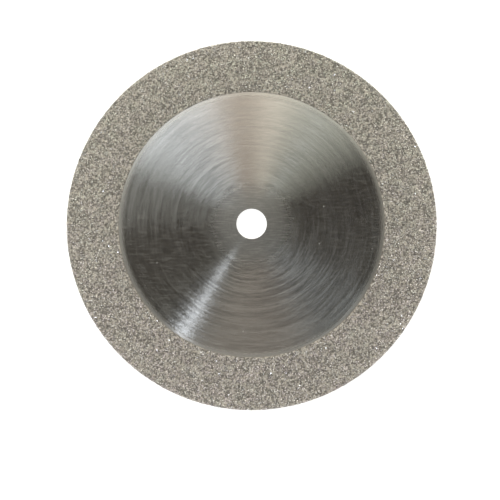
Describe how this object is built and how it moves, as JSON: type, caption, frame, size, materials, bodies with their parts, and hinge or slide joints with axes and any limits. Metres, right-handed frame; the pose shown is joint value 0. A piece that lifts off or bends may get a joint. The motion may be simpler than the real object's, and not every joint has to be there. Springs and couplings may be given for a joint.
{
  "type": "diamond cutting disc",
  "caption": "Thin round cutting disc: a ground steel blank with a centre bore, and a band of plated diamond grit on both faces and the edge.",
  "frame": {"origin": "on the bore's axis, halfway through the thickness", "axes": "+Z along the bore, square to both faces; the disc is round about Z and alike on both faces"},
  "size_m": [0.022, 0.022, 0.0004],
  "materials": {
    "ground_steel": "ground in circles round the bore, semi-bright",
    "diamond_grit": "rough, diamond grains standing out of plated nickel"
  },
  "bodies": {
    "root": {"steel_core": "ground_steel", "diamond_rim": "diamond_grit"}
  },
  "joints": []
}
